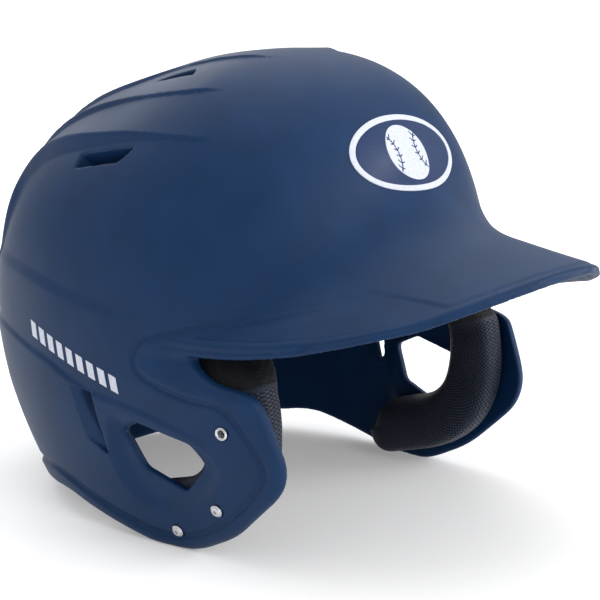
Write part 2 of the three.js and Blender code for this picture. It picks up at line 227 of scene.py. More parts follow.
# ---------------------------------------------------------------- outlines on the side (y, z)
OPENING = Outline(rounded([
    (170, -53), (100, -52), (62, -58), (8, -88), (-12, -92), (-38, -87), (-71, -70), (-78, -58),
    (-75.5, -33), (-72.5, -25), (-54, -17), (-44, -4.5), (-60, -3), (-80, 4), (-95, 13), (-111, 20),
    (-175, 24), (-175, 160), (170, 160),
], 9), low=(-180, -105), high=(150, 140))
EAR_HOLE = Outline(rounded([
    (3.2, -31.2), (-9, -28.8), (-35.2, -42), (-37.4, -52.8), (-19.6, -63.4), (-0.6, -50),
], 2.2))
EAR_BOWL = Outline(rounded([
    (6, -21), (-8, -25), (-38, -38), (-47, -48), (-49, -59), (-38, -68), (-26, -73), (-8, -76), (3, -72),
    (11, -65), (16, -54), (16, -40),
], 9), margin=20)
SLOT = Outline(rounded([(20.5, -11), (13, -13.5), (14.8, -36.5), (16.3, -37)], 0.8))
SLOT_DISH = Outline(rounded([(26, -7), (26.5, -31.5), (15, -42), (13, -12.5)], 1.5))
BORDER = Outline(rounded([
    (-200, 4), (-60, 4), (-33, 6), (-24, 6), (-19, 2), (-18, -6), (-28, -13.5), (-43.5, -21.5), (-57, -25.5),
    (-62.5, -32), (-67.5, -44.5), (-70.5, -57), (-67, -63.5), (-54.5, -72.5), (-38.8, -80), (-22, -84.5),
    (-6, -85.5), (9.5, -81), (39.6, -62.5), (56, -52), (68, -46.5), (90, -43.5), (200, -43.5), (200, -200),
    (-200, -200),
], 6), low=(-180, -105), high=(150, 60))

# ---------------------------------------------------------------- crown steps and side ridges
# Each crown step: its edge as (y, degrees down from the crown), where its tips lie, and how the
# riser widens from the front tip.
CROWN_STEPS = [
    {"edge": [(-66, 46), (-53, 46.7), (-40, 46), (-12, 43.7), (13, 41.8), (37, 39.4), (59, 38), (77, 40.5),
              (92, 49), (104, 60)],
     "tip": -64, "widening": 0.085, "height": 3.7, "run": 21, "fade": (80, 108)},
    {"edge": [(-60, 32.5), (-39, 33.6), (-22, 32.9), (4, 31.1), (29, 30.2), (59, 29.5), (80, 31), (100, 38)],
     "tip": -60, "widening": 0.045, "height": 2.4, "run": 19, "fade": (85, 112)},
    {"edge": [(-66, 11.5), (-59, 13.5), (-45, 17), (-27, 19.3), (-7, 19.9), (16, 21.8), (50, 22), (80, 22.5),
              (104, 28)],
     "tip": -64, "widening": 0.04, "height": 2.2, "run": 17, "fade": (85, 115)},
]
for step in CROWN_STEPS:
    step["at"] = smooth_curve(step["edge"])

# Each side ridge: the height z of its edge over y, and how much a height counts across its slope.
UPPER_RIDGE = smooth_curve([
    (-40, 10), (-20, 17), (-8, 22), (12, 30.6), (26, 37), (51, 47.7), (73, 55), (105, 63), (139, 67),
])
LOWER_RIDGE = smooth_curve([
    (-60, -46), (-43, -40.5), (-29, -32.5), (-7, -21), (11, -13.5), (26, -4.5), (36, 2.8), (54, 12.5),
    (73, 21.5), (105, 31), (139, 34),
])
RIDGE_SLOPE = 0.84

# ---------------------------------------------------------------- crown vents (y, millimetres of fall)
VENTS = [
    Outline(rounded([(17, 97.8), (14.5, 91.6), (-22, 95.2), (-13, 100.8)], 1.2)),
    Outline(rounded([(-8, 50.2), (-17, 48.4), (-31, 47), (-33.5, 52.6)], 1.2)),
]

# ---------------------------------------------------------------- the brim
BRIM_HALF_WIDTH, BRIM_ROOT, BRIM_REACH = 104, -30, 146
PLATE = 3.7


def brim_plan():
    t = np.radians(np.linspace(-90, 90, 361))
    points = np.stack([BRIM_HALF_WIDTH * np.sin(t), BRIM_ROOT - BRIM_REACH * np.cos(t).clip(0) ** 0.9], 1)
    return np.vstack([points, [(88, 20), (-88, 20)]])


BRIM_PLAN = Outline(brim_plan(), low=(-125, -195), high=(125, 60), step=1)


def brim_distance(x, y, z):
    side = BRIM_PLAN(x, y)
    inwards = np.maximum(-side, 0)
    rim = (
        -12.8 + 0.002 * np.clip(y + 110, 0, None) ** 2
        + 6.5 * np.clip(1 - (x / 68) ** 2, 0, None) ** 1.2 * smooth01((-y - 70) / 50)
    )
    band = 3.7 + 3.3 * smooth01((y + 130) / 80)
    rise = 0.6 * inwards - 4 * np.clip(1 - (x / 90) ** 2, 0, None) * (1 - np.exp(-inwards / 25))
    raised = 0.8 * smooth01((57 + 0.07 * (y + 125) - np.abs(x)) / 2.2 + 0.5) * smooth01((-y - 98) / 42)
    top = rim + band + rise + raised * smooth01((inwards - 2) / 3)
    lip = 0.4 * (1 - smooth01((inwards - 1.2) / 2.6))
    under = smooth01(inwards / 8)
    bottom = rim * (1 - under) + (top - PLATE) * under
    groove = 0.55 * np.exp(-(((z - rim) / band - 0.58) / 0.17) ** 2) * (inwards < 6)
    across = np.maximum(z - top - lip, bottom - z) * 0.88
    return smooth_max(across, side + groove, 2.4)


# ---------------------------------------------------------------- the whole shell
DISH_DEPTH = 3.4


def relief(x, y, z):
    """How far the shell's outer face stands proud of the plain form, and how deep its dishes are."""
    proud = np.zeros_like(x)
    down = fall(x, z)
    for step in CROWN_STEPS:
        beyond = down - 2 * step["at"](y)
        width = np.maximum(step["widening"] * (y - step["tip"]), 2.0)
        tall = np.minimum(0.55 * width, step["height"]) * smooth01((y - step["tip"]) / 14)
        first, last = step["fade"]
        tall = tall * (1 - smooth01((y - first) / (last - first)))
        climb = np.clip(1 + beyond / step["run"], 0, 1) ** 2
        proud += tall * np.where(beyond < 0, climb, 1 - smooth01(beyond / width))
    upper = (UPPER_RIDGE(y) - z) * RIDGE_SLOPE
    lower = (LOWER_RIDGE(y) - z) * RIDGE_SLOPE
    proud += 0.9 * smooth01(upper / 6 + 0.5) * smooth01((y + 28) / 34) * (1 - smooth01(upper / 42))
    proud += 1.1 * smooth01(lower / 3.4 + 0.5) * smooth01((y + 52) / 26) * (1 - 0.8 * smooth01(lower / 36))
    border = -BORDER(y, z)
    # The border stands up inside its outline, with a shallow groove along the outside of it.
    proud += 1.1 * smooth01(border / 2.2 + 0.3) - 0.75 * np.exp(-((border + 1.5) / 1.2) ** 2)
    dish = DISH_DEPTH * smooth01(-EAR_BOWL(y, z) / 10)
    dish += DISH_DEPTH * np.clip((26 - y) / 11, 0, 1) * smooth01(-SLOT_DISH(y, z) + 0.3)
    return proud, dish * (z < 0)


# ---------------------------------------------------------------- where the inserts sit
INSERT_SPOTS = {"upper": (-55, -39), "lower_front": (-36, -73), "lower_rear": (-7, -81)}
INSERT_BORE = 2.6


def normals_of(distance, points, h=0.12):
    """Unit normals of a distance field at the points, and how fast the field grows along them."""
    x, y, z = points.T
    normals = np.stack([
        distance(x + h, y, z) - distance(x - h, y, z),
        distance(x, y + h, z) - distance(x, y - h, z),
        distance(x, y, z + h) - distance(x, y, z - h),
    ], 1)
    size = np.linalg.norm(normals, axis=1) / (2 * h)
    return normals / np.maximum(size * 2 * h, 1e-9)[:, None], size


def insert_place(y, z):
    """The point of the wearer's left flap at (y, z), on the outer face, and the way that face looks."""
    at = np.array([[half_width(np.array([float(y)]), np.array([float(z)]))[0], y, z]])
    normal = normals_of(body_distance, at)[0][0]
    proud, dish = relief(*at.T)
    return at[0] + normal * (proud - dish), normal


INSERT_PLACES = {spot: insert_place(*at) for spot, at in INSERT_SPOTS.items()}


def bore_distance(x, y, z):
    """Distance to the nearest insert bore, mirrored to both flaps."""
    nearest = np.full_like(x, 9.0)
    for origin, normal in INSERT_PLACES.values():
        offset = np.stack([np.abs(x) - origin[0], y - origin[1], z - origin[2]], -1)
        along = offset @ normal
        aside = np.sqrt(np.maximum((offset ** 2).sum(-1) - along ** 2, 0))
        nearest = np.minimum(nearest, np.where(np.abs(along) < 15, aside - INSERT_BORE, 9))
    return nearest


def above_table(y, z):
    """Height over the table, on which the flaps and the rear rim stand."""
    return z * math.cos(PITCH) - y * math.sin(PITCH) + LIFT


def shell_distance(x, y, z):
    form = body_distance(x, y, z)
    proud, dish = relief(x, y, z)
    outer = form - proud + dish
    dome = smooth_max(outer, OPENING(y, z), 3.4)
    fillet = 2.5 + 23 * smooth01((-y - 60) / 45)
    solid = smooth_min(dome, brim_distance(x, y, z), fillet)
    inner = form + WALL + 0.9 * dish
    down = fall(x, z)
    ducts = [vent(y, down) for vent in VENTS]
    for duct in ducts:
        inner = inner + np.where(z > 60, 5 * smooth01(1 - duct / 5), 0)
    solid = smooth_max(solid, -inner, 1.8)
    on_side = z < 0
    for hole in (EAR_HOLE, SLOT):
        solid = np.where(on_side, smooth_max(solid, -hole(y, z), 1.6), solid)
    for duct in ducts:
        solid = np.where(z > 60, smooth_max(solid, -duct, 1.2), solid)
    solid = np.where(z < -20, smooth_max(solid, -bore_distance(x, y, z), 0.3), solid)
    return smooth_max(solid, -above_table(y, z), 0.8)


def onto(distance, points, rounds=3):
    """The points moved onto the zero surface of a distance field."""
    for _ in range(rounds):
        normals, size = normals_of(distance, points)
        offset = distance(*points.T) / np.maximum(size, 0.4)
        points = points - normals * np.clip(offset, -1.2, 1.2)[:, None]
    return points


def quads_of(values, low, cell):
    """Points and quads of the surface where a grid of distances crosses zero."""
    grid = openvdb.FloatGrid(3 * cell)
    grid.copyFromArray(values.astype(np.float32), tolerance=0)
    points, quads = grid.convertToQuads(0.0)
    return low + points.astype(float) * cell, quads.astype(int)


SHELL_LOW, SHELL_HIGH = np.array([-114.0, -182.0, -97.0]), np.array([114.0, 146.0, 135.0])
COARSE = 4


def refined(grid):
    """A coarse grid with each value repeated over its block of fine cells."""
    return grid.repeat(COARSE, 0).repeat(COARSE, 1).repeat(COARSE, 2)


def shell_surface(cell):
    """Quads on the shell's surface: a coarse grid finds the cells near it, and only they are measured."""
    counts = np.ceil((SHELL_HIGH - SHELL_LOW) / cell).astype(int) + 1
    axes = [SHELL_LOW[k] + cell * np.arange(counts[k]) for k in range(3)]
    grids = np.meshgrid(*[axis[::COARSE] for axis in axes], indexing="ij")
    rough = shell_distance(*[grid.ravel() for grid in grids]).reshape(grids[0].shape)
    near = refined(np.abs(rough) < COARSE * cell * 1.8 + 3)
    half = COARSE // 2
    wide = near.copy()
    wide[:-half, :-half, :-half] |= near[half:, half:, half:]
    wide = wide[:counts[0], :counts[1], :counts[2]]
    inside = refined(rough < 0)[:counts[0], :counts[1], :counts[2]]
    values = np.where(inside, -3 * cell, 3 * cell).astype(np.float32)
    i, j, k = np.nonzero(wide)
    values[i, j, k] = np.clip(shell_distance(axes[0][i], axes[1][j], axes[2][k]), -3 * cell, 3 * cell)
    return quads_of(values, SHELL_LOW, cell)


def mesh_object(name, points, faces):
    mesh = bpy.data.meshes.new(name)
    faces = np.asarray(faces)
    mesh.vertices.add(len(points))
    mesh.vertices.foreach_set("co", np.asarray(points, np.float32).ravel())
    mesh.loops.add(faces.size)
    mesh.loops.foreach_set("vertex_index", faces.astype(np.int32).ravel())
    mesh.polygons.add(len(faces))
    mesh.polygons.foreach_set("loop_start", np.arange(0, faces.size, faces.shape[1], dtype=np.int32))
    mesh.update(calc_edges=True)
    mesh.validate()
    mesh.shade_smooth()
    obj = bpy.data.objects.new(name, mesh)
    scene.collection.objects.link(obj)
    return obj


def apply_modifiers(obj):
    graph = bpy.context.evaluated_depsgraph_get()
    mesh = bpy.data.meshes.new_from_object(obj.evaluated_get(graph))
    obj.modifiers.clear()
    old = obj.data
    obj.data = mesh
    bpy.data.meshes.remove(old)


def vertices_of(obj):
    points = np.zeros(len(obj.data.vertices) * 3)
    obj.data.vertices.foreach_get("co", points)
    return points.reshape(-1, 3)


def set_vertices(obj, points):
    obj.data.vertices.foreach_set("co", np.asarray(points, np.float32).ravel())
    obj.data.update()


SHELL_CELL = 1.25
SHELL_FACES = 190000


def make_shell():
    points, quads = shell_surface(SHELL_CELL)
    shell = mesh_object("moulded_shell", points, quads)
    thin = shell.modifiers.new("thin", "DECIMATE")
    thin.ratio = min(1, SHELL_FACES / (2 * len(quads)))
    apply_modifiers(shell)
    points = onto(shell_distance, vertices_of(shell))
    normals, _ = normals_of(shell_distance, points)
    set_vertices(shell, to_row(points))
    shell.data.normals_split_custom_set_from_vertices(turn(normals).tolist())
    return shell


# ---------------------------------------------------------------- helpers for the other pieces
def to_worn(points):
    """Places in the row frame, in metres, back to the wearer's frame, in millimetres."""
    x, y, z = (points * 1000 - (0, SHIFT_Y, LIFT)).T
    c, s = math.cos(PITCH), math.sin(PITCH)
    return np.stack([x, y * c - z * s, z * c + y * s], 1)


def worn_box(node, margin):
    """A box in the wearer's frame that holds a CAD node, with a margin in millimetres."""
    low, high = [np.array(corner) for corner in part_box(node)]
    corners = np.array([[(low, high)[i][0], (low, high)[j][1], (low, high)[k][2]]
                        for i in (0, 1) for j in (0, 1) for k in (0, 1)])
    worn = to_worn(corners)
    return worn.min(0) - margin, worn.max(0) + margin


def field_piece(name, node, distance, cell, margin=4):
    """A closed mesh of a distance field in the space of a CAD node."""
    low, high = worn_box(node, margin)
    counts = np.ceil((high - low) / cell).astype(int) + 1
    axes = [low[k] + cell * np.arange(counts[k]) for k in range(3)]
    grid = np.meshgrid(*axes, indexing="ij")
    values = np.clip(distance(*grid), -3 * cell, 3 * cell)
    points, quads = quads_of(values, low, cell)
    return mesh_object(name, to_row(onto(distance, points)), quads)


def clean(obj, sharp=None):
    """Joins vertices that lie on each other, turns every face outward, and marks sharp edges."""
    edit = bmesh.new()
    edit.from_mesh(obj.data)
    bmesh.ops.remove_doubles(edit, verts=edit.verts, dist=1e-6)
    bmesh.ops.recalc_face_normals(edit, faces=edit.faces)
    edit.to_mesh(obj.data)
    edit.free()
    obj.data.shade_smooth()
    if sharp:
        obj.data.set_sharp_from_angle(angle=math.radians(sharp))
    return obj


def subdivide(obj, levels):
    modifier = obj.modifiers.new("subdivide", "SUBSURF")
    modifier.levels = levels
    modifier.render_levels = levels
    apply_modifiers(obj)


def place_piece(obj, slot, material, *replaced):
    """Dresses a piece, fixes it to the helmet and hides the CAD nodes it stands for."""
    dress(obj, material)
    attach(obj, "root")
    if replaced:
        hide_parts(*replaced)


def plan_angle(x, y):
    """Compass angle of a point from the wearer's left towards the back, in degrees."""
    return np.degrees(np.arctan2(y - CENTRE_Y, x))


def sector_distance(x, y, middle, half):
    """How far a point lies outside a sector of the plan, in millimetres."""
    aside = (plan_angle(x, y) - middle + 180) % 360 - 180
    return np.radians(np.abs(aside) - half) * np.hypot(x, y - CENTRE_Y)


def band(value, low, high):
    return np.abs(value - (low + high) / 2) - (high - low) / 2


# ---------------------------------------------------------------- foam liner
# Each block: the middle and half width of its sector of the plan, in degrees, then its lowest and
# highest z, in millimetres.
LINER_BACK, LINER_FACE, LINER_TOP = WALL + 0.35, 16, 76
LINER_BLOCKS = {
    "rear_liner": (90, 41.7, -28, LINER_TOP - 0.35),
    "front_liner": (270, 41.7, 24, LINER_TOP - 0.35),
    "left_liner": (0, 47.7, 8, LINER_TOP - 0.35),
    "right_liner": (180, 47.7, 8, LINER_TOP - 0.35),
    "crown_liner": (0, 400, LINER_TOP, 200),
}
AIR_CHANNELS = (-30, 30)


def liner_distance(middle, half, low, high):
    def distance(x, y, z):
        depth = -body_distance(x, y, z)
        block = smooth_max(band(depth, LINER_BACK, LINER_FACE), sector_distance(x, y, middle, half), 2.5)
        block = smooth_max(block, band(z, low, high), 2.5)
        down = fall(x, z)
        for vent in VENTS:
            block = np.where(z > 60, smooth_max(block, 5.6 - vent(y, down), 1.5), block)
        if low >= LINER_TOP:
            for channel in AIR_CHANNELS:
                groove = np.maximum(np.abs(x - channel) - 6, LINER_FACE - 5 - depth)
                block = smooth_max(block, -groove, 1.5)
        return block

    return distance


# ---------------------------------------------------------------- comfort pads
# Each pad: the same four numbers as a liner block.
PAD_BACK, PAD_FACE = LINER_FACE + 0.35, 22.5
COMFORT_PADS = {
    "forehead_pad": (270, 36, 26, 54),
    "rear_pad_left": (62, 12, -26, 14),
    "rear_pad_centre": (90, 14, -26, 14),
    "rear_pad_right": (118, 12, -26, 14),
    "temple_pad_left": (-9, 21, 16, 42),
    "temple_pad_right": (189, 21, 16, 42),
}


def pad_plan(middle, half, low, high):
    """How far outside a pad's rounded outline a point lies."""
    def plan(x, y, z):
        return smooth_max(sector_distance(x, y, middle, half), band(z, low, high), 11)

    return plan


def crown_plan(x, y, z):
    """How far outside the crown pad's long oval a point lies."""
    return (np.sqrt((x / 17) ** 2 + ((y - CENTRE_Y + 4) / 52) ** 2) - 1) * 17


def pad_distance(plan):
    def distance(x, y, z):
        depth = -body_distance(x, y, z)
        edge = plan(x, y, z)
        return smooth_max(smooth_max(depth - PAD_FACE + 0.6, edge, 6), PAD_BACK - depth, 1.2)

    return distance


# ---------------------------------------------------------------- jaw pads
JAW_BACK, JAW_DEPTH, JAW_HALF_WIDTH = WALL + 2.4, 23, 12.5


def smooth_line(knots, steps=12):
    """Points of a smooth line through the knots, evenly many in each span."""
    knots = np.array(knots, float)
    padded = np.vstack([2 * knots[0] - knots[1], knots, 2 * knots[-1] - knots[-2]])
    points = []
    for before, start, end, after in zip(padded, padded[1:], padded[2:], padded[3:]):
        for t in np.arange(steps) / steps:
            points.append(0.5 * (
                2 * start + (end - before) * t + (2 * before - 5 * start + 4 * end - after) * t ** 2
                + (3 * start - before - 3 * end + after) * t ** 3
            ))
    return np.vstack([points, knots[-1]])


JAW_LINE = smooth_line([(-50, -12), (-53, -24), (-50.8, -42.4), (-42.4, -59.6), (-25.2, -69.4), (1, -70.4)])


def along_jaw(y, z):
    """Distance from the middle line of the jaw pad, how far aside of it (towards the ear is positive),
    and the length run along it, which goes on beyond both ends."""
    nearest, aside, run = np.full_like(y, 1e9), np.ones_like(y), np.zeros_like(y)
    travelled = 0.0
    last = len(JAW_LINE) - 2
    for number, ((ay, az), (by, bz)) in enumerate(zip(JAW_LINE, JAW_LINE[1:])):
        dy, dz = by - ay, bz - az
        length = math.hypot(dy, dz)
        share = ((y - ay) * dy + (z - az) * dz) / length ** 2
        t = np.clip(share, 0, 1)
        off = np.hypot(y - ay - t * dy, z - az - t * dz)
        closer = off < nearest
        nearest = np.where(closer, off, nearest)
        aside = np.where(closer, ((y - ay) * dz - (z - az) * dy) / length, aside)
        open_share = np.clip(share, None if number == 0 else 0, None if number == last else 1)
        run = np.where(closer, travelled + open_share * length, run)
        travelled += length
    return nearest, aside, run


def jaw_distance(side, inset=0.0):
    """The crowned roll of a jaw pad on one side, or a smaller one inside it."""
    def distance(x, y, z):
        off, aside, run = along_jaw(y, z)
        height = -body_distance(x, y, z) - JAW_BACK
        ear_side = JAW_HALF_WIDTH + 6.5 * smooth01(run / 14) - 4.5 * smooth01((run - 45) / 35)
        towards_ear = np.where(aside > 0, ear_side, JAW_HALF_WIDTH)
        across = off / (towards_ear - inset)
        up = np.clip(height, 0, None) / (JAW_DEPTH - JAW_BACK - inset)
        power = np.where(aside > 0, 4.0, 2.7)
        roll = ((across ** power + up ** power) ** (1 / power) - 1) * 11
        return np.where(side * x > 20, smooth_max(roll, inset - height, 3), 9.0)

    return distance


def weave_map(obj):
    """Stores how far each corner of a jaw pad lies along the roll and around it, in centimetres."""
    x, y, z = to_worn(vertices_of(obj)).T
    _, aside, run = along_jaw(y, z)
    height = np.clip(-body_distance(x, y, z) - JAW_BACK, 0.5, None)
    around = np.arctan2(aside, height) * np.clip(np.hypot(aside, height), 8, 24)
    places = np.stack([run, around], 1) / 10
    corners = np.zeros(len(obj.data.loops), np.int32)
    obj.data.loops.foreach_get("vertex_index", corners)
    layer = obj.data.uv_layers.new(name="weave")
    layer.data.foreach_set("uv", places[corners].astype(np.float32).ravel())


# ---------------------------------------------------------------- padding by cloth simulation
SIM_FRAMES = 20
PRESSURE = 4.0
PAD_SWELL, COVER_SWELL = 0.0012, 0.0014


def inflate(pieces, cap):
    """Blows padded pieces up as cloth with their backs held, no point moving further than cap metres."""
    starts = {}
    for piece, held in pieces:
        starts[piece.name] = vertices_of(piece)
        group = piece.vertex_groups.new(name="held")
        group.add(np.nonzero(held)[0].tolist(), 1.0, "REPLACE")
        cloth = piece.modifiers.new("cloth", "CLOTH")
        cloth.settings.vertex_group_mass = "held"
        cloth.settings.use_pressure = True
        cloth.settings.uniform_pressure_force = PRESSURE
        cloth.settings.quality = 4
        cloth.settings.effector_weights.gravity = 0
        cloth.point_cache.frame_start = 1
        cloth.point_cache.frame_end = SIM_FRAMES
    for number in range(1, SIM_FRAMES + 1):
        scene.frame_set(number)
    for piece, held in pieces:
        apply_modifiers(piece)
        move = vertices_of(piece) - starts[piece.name]
        size = np.linalg.norm(move, axis=1)
        print("inflated", piece.name, "moved up to %.2f mm" % (1000 * size.max()))
        share = cap * np.tanh(size / cap) / np.maximum(size, 1e-9)
        set_vertices(piece, starts[piece.name] + move * share[:, None])
        piece.vertex_groups.clear()
    scene.frame_set(1)


def sink(obj, depth_at):
    """Moves every vertex inward by depth_at(x, y, z) millimetres along its normal."""
    points = vertices_of(obj)
    normals = np.zeros(len(points) * 3, np.float32)
    obj.data.vertex_normals.foreach_get("vector", normals)
    set_vertices(obj, points - normals.reshape(-1, 3) * depth_at(*to_worn(points).T)[:, None] / 1000)


def seam_depth(plan):
    """A sewn line that follows a pad's outline on its face, with stitches pulled into it."""
    def depth(x, y, z):
        edge = plan(x, y, z)
        inside = -body_distance(x, y, z) > PAD_BACK + 2.5
        stitches = 0.75 + 0.25 * np.cos(2 * np.pi * (x + y + z) / 3.2)
        return inside * 0.7 * stitches * np.exp(-((edge + 6.0) / 0.8) ** 2)

    return depth


# ---------------------------------------------------------------- turned metal pieces
def turned(name, profile, origin, axis, hexagonal=()):
    """A closed profile (radius, height) in millimetres, turned about an axis; some rings are hexagons."""
    sides = 48
    angles = np.linspace(0, 2 * np.pi, sides, endpoint=False)
    rings = np.array(profile, float)
    radius = np.repeat(rings[:, :1], sides, 1)
    sixth = math.pi / 3
    for ring in hexagonal:
        radius[ring] *= math.cos(sixth / 2) / np.cos(angles % sixth - sixth / 2)
    across = np.cross(axis, (0, 0, 1.0))
    across /= np.linalg.norm(across)
    up = np.cross(axis, across)
    spokes = np.cos(angles)[None, :, None] * across + np.sin(angles)[None, :, None] * up
    points = origin + radius[..., None] * spokes + rings[:, 1][:, None, None] * axis
    faces = []
    for i in range(len(rings)):
        j = (i + 1) % len(rings)
        for k in range(sides):
            m = (k + 1) % sides
            faces.append((i * sides + k, i * sides + m, j * sides + m, j * sides + k))
    obj = mesh_object(name, to_row(points.reshape(-1, 3)), faces)
    return clean(obj, 38)


def insert_profile():
    bore, barrel, flange = 1.6, 2.3, 2.95
    outside = [(bore, -4.6), (barrel, -4.6), (barrel, -0.1), (flange - 0.25, -0.1), (flange, 0.1),
               (flange, 0.5), (flange - 0.3, 0.85), (flange - 0.75, 0.95), (bore + 0.35, 0.8),
               (bore + 0.05, 0.45)]
    threads = [(bore + (0.14 if i % 2 else 0), 0.1 - 0.35 * i) for i in range(12)]
    return outside + threads


def screw_profile():
    head = 0.72
    dome = [(2.35, head), (2.4, head + 0.2), (2.25, head + 0.45), (1.9, head + 0.65), (1.4, head + 0.78),
            (1.07, head + 0.8), (1.0, head + 0.7), (1.0, head + 0.15), (0.0, head + 0.05)]
    return [(0.0, -3.6), (1.2, -3.6), (1.3, head)] + dome


# ---------------------------------------------------------------- prints and badge
def outside_of(points, way, far=40.0):
    """Slides points along a direction until they meet the shell's outer face."""
    travelled = np.zeros(len(points))
    start = points - far * np.array(way, float)
    for _ in range(60):
        travelled += 0.7 * shell_distance(*(start + travelled[:, None] * way).T)
    return start + travelled[:, None] * np.array(way, float)


def raised_patches(name, grids, place, height, foot=-0.4, ring=False):
    """Thin closed patches on the shell: each grid of plan points is lifted by height, with eased edges.

    The rows of a ring follow each other round and close on the first.
    """
    points, faces, base = [], [], 0
    for grid in grids:
        n, m, _ = grid.shape
        middle, normals = place(grid.reshape(-1, 2))
        rim = np.zeros((n, m), bool)
        rim[[0, -1]] = not ring
        rim[:, [0, -1]] = True
        lift = np.where(rim.ravel(), height - 0.12, height)[:, None]
        points += [middle + normals * lift, middle + normals * foot]
        index = base + np.arange(n * m).reshape(n, m)
        if ring:
            loops = [index[:, 0], index[:, -1]]
            index = np.vstack([index, index[:1]])
        else:
            loops = [np.concatenate([index[0, :-1], index[:-1, -1], index[-1, :0:-1], index[:0:-1, 0]])]
        quads = np.stack([index[:-1, :-1], index[1:, :-1], index[1:, 1:], index[:-1, 1:]], -1).reshape(-1, 4)
        faces += [quads, quads[:, ::-1] + n * m]
        for loop in loops:
            ahead = np.roll(loop, -1)
            faces.append(np.stack([loop, ahead, ahead + n * m, loop + n * m], -1))
        base += 2 * n * m
    obj = mesh_object(name, to_row(np.vstack(points)), np.vstack(faces))
    return clean(obj, 50)


def on_front(plan):
    points = np.stack([plan[:, 0], np.full(len(plan), -112.0), plan[:, 1]], 1)
    points = outside_of(points, (0, 1, 0))
    return points, normals_of(shell_distance, points, 0.6)[0]


def on_side(side):
    def place(plan):
        points = np.stack([np.full(len(plan), side * 90.0), plan[:, 0], plan[:, 1]], 1)
        points = outside_of(points, (-side, 0, 0))
        return points, normals_of(shell_distance, points, 0.6)[0]

    return place


def square_grid(n, m):
    u, v = np.meshgrid(np.linspace(-1, 1, n), np.linspace(-1, 1, m), indexing="ij")
    return u, v


BADGE_CENTRE, BADGE_HALF_WIDTH, BADGE_HALF_HEIGHT = 62.3, 36, 18.2
BADGE_RING = 3.0
BALL_RADIUS = 13.2


def oval_grid(half_width, half_height, n=49):
    u, v = square_grid(n, n)
    return np.stack([half_width * u * np.sqrt(1 - v * v / 2),
                     BADGE_CENTRE + half_height * v * np.sqrt(1 - u * u / 2)], -1)


def ring_grid(inner, outer, n=144, m=6):
    """A ring between two ovals given by their half axes."""
    t = np.linspace(0, 2 * np.pi, n, endpoint=False)[:, None, None]
    axes = np.linspace(inner, outer, m)[None]
    return np.concatenate([axes[..., :1] * np.cos(t), BADGE_CENTRE + axes[..., 1:] * np.sin(t)], -1)


def seam_grids():
    """The two curved seams of a ball, each with short leaning stitches."""
    grids = []
    for side in (-1, 1):
        t = np.linspace(-0.80, 0.80, 25)
        bend = 0.78 * BALL_RADIUS
        line = np.stack([side * (1.28 * BALL_RADIUS - bend * np.cos(t)), bend * 1.12 * np.sin(t)], 1)
        away = np.stack([side * -np.cos(t), np.sin(t)], 1)
        grids.append(np.stack([line - 0.35 * away, line + 0.35 * away], 1) + (0, BADGE_CENTRE))
        for i in range(2, 24, 4):
            for lean in (-1, 1):
                reach = away[i] * lean * 1.9 + (0, 1.1)
                across = np.array([-reach[1], reach[0]]) / np.linalg.norm(reach) * 0.3
                stitch = np.array([[line[i] - across, line[i] + across],
                                   [line[i] + reach - across, line[i] + reach + across]])
                grids.append(stitch + (0, BADGE_CENTRE))
    return grids


ACCENT_REAR, ACCENT_FRONT = np.array((49, 17.6)), np.array((-6, -16.2))
ACCENT_BARS, ACCENT_HEIGHT, ACCENT_LEAN = 9, 6.8, 3.2


def accent_grids():
    """Leaning bars in a row from the rear of the side towards the flap."""
    along = ACCENT_FRONT - ACCENT_REAR
    length = np.linalg.norm(along)
    along = along / length
    up = np.array([along[1], -along[0]])
    pitch = length / ACCENT_BARS
    u, v = np.meshgrid(np.linspace(0, 1, 9), np.linspace(0, 1, 13), indexing="ij")
    grids = []
    for bar in range(ACCENT_BARS):
        start = (bar + 0.1) * pitch
        reach = start + u * pitch * 0.62 - v * ACCENT_LEAN
        grids.append(ACCENT_REAR + reach[..., None] * along + (v * ACCENT_HEIGHT)[..., None] * up)
    return grids


# ---------------------------------------------------------------- materials
def new_material(name):
    material = bpy.data.materials.new(name)
    material.use_nodes = True
    tree = material.node_tree
    tree.nodes.clear()
    shader = tree.nodes.new("ShaderNodeBsdfPrincipled")
    output = tree.nodes.new("ShaderNodeOutputMaterial")
    tree.links.new(shader.outputs["BSDF"], output.inputs["Surface"])
    return material, tree, shader


def add_node(tree, kind, settings=None, **inputs):
    node = tree.nodes.new(kind)
    for key, value in (settings or {}).items():
        setattr(node, key, value)
    for key, value in inputs.items():
        socket = node.inputs[key.replace("_", " ")]
        if isinstance(value, bpy.types.NodeSocket):
            tree.links.new(value, socket)
        else:
            socket.default_value = value
    return node


def object_position(tree):
    return add_node(tree, "ShaderNodeTexCoord").outputs["Object"]


def noise(tree, where, scale, detail=2.0, roughness=0.5):
    return add_node(tree, "ShaderNodeTexNoise", Vector=where, Scale=scale, Detail=detail, Roughness=roughness)


def ramp(tree, value, low, high, low_colour, high_colour):
    node = add_node(tree, "ShaderNodeValToRGB", Fac=value)
    node.color_ramp.elements[0].position = low
    node.color_ramp.elements[1].position = high
    node.color_ramp.elements[0].color = low_colour
    node.color_ramp.elements[1].color = high_colour
    return node.outputs["Color"]


def ramped(tree, shader, socket, *how):
    """Feeds a socket of the shader from a ramp."""
    tree.links.new(ramp(tree, *how), shader.inputs[socket])


def grey(value):
    return (value, value, value, 1)


